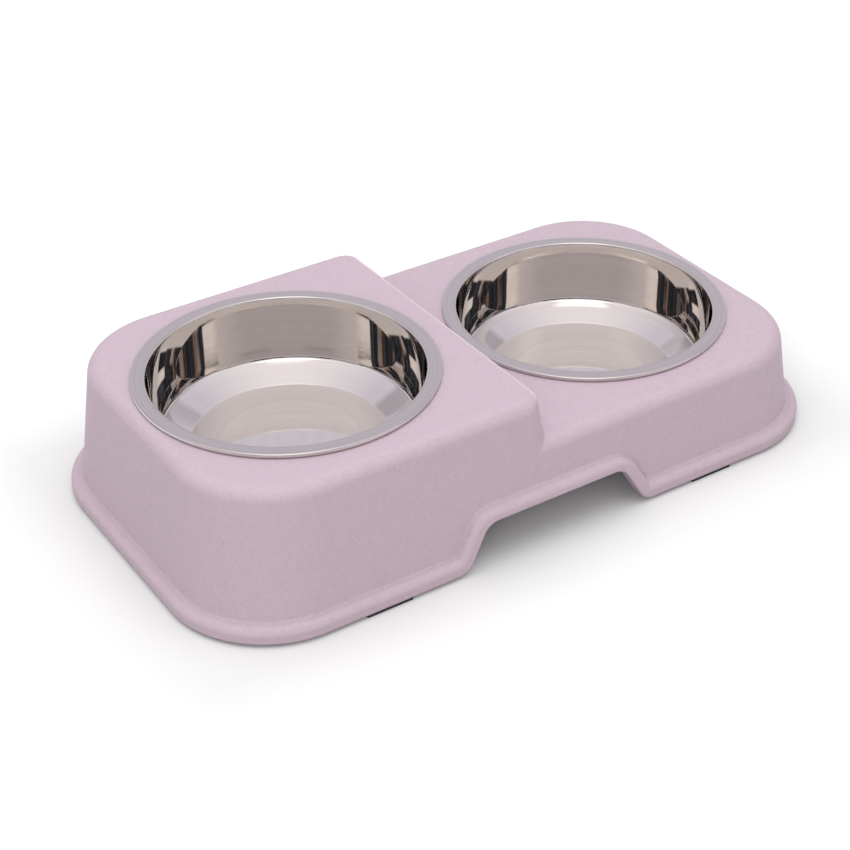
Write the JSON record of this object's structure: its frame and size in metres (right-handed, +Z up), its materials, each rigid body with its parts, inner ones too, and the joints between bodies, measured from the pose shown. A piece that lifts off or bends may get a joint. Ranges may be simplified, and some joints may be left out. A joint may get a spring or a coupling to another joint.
{
  "type": "double pet bowl",
  "caption": "Stepped pet feeding stand with rounded corners, a base bead and arched cut-outs, carrying lift-out polished steel bowls on a high and a low deck.",
  "frame": {"origin": "centre of the bounding box in plan, at the floor under the rubber pads", "axes": "+X runs along the length from the high bowl to the low bowl, -Y is the front that the picture shows, and +Z is up"},
  "size_m": [0.357, 0.199, 0.0753],
  "materials": {
    "stand_plastic": "matte pale mauve-pink moulding filled with fine plant fibre",
    "bowl_steel": "polished inside, satin on the rim",
    "pad_rubber": "matte dark grey"
  },
  "bodies": {
    "stand": {"stand": "stand_plastic", "front_left_pad": "pad_rubber", "front_right_pad": "pad_rubber", "rear_left_pad": "pad_rubber", "rear_right_pad": "pad_rubber"},
    "high_bowl": {"high_bowl": "bowl_steel"},
    "low_bowl": {"low_bowl": "bowl_steel"}
  },
  "joints": [
    {"name": "high_bowl_lift", "type": "slide", "parent": "stand", "child": "high_bowl", "axis": [0, 0, 1], "range_m": [0, 0.06]},
    {"name": "low_bowl_lift", "type": "slide", "parent": "stand", "child": "low_bowl", "axis": [0, 0, 1], "range_m": [0, 0.06]}
  ]
}
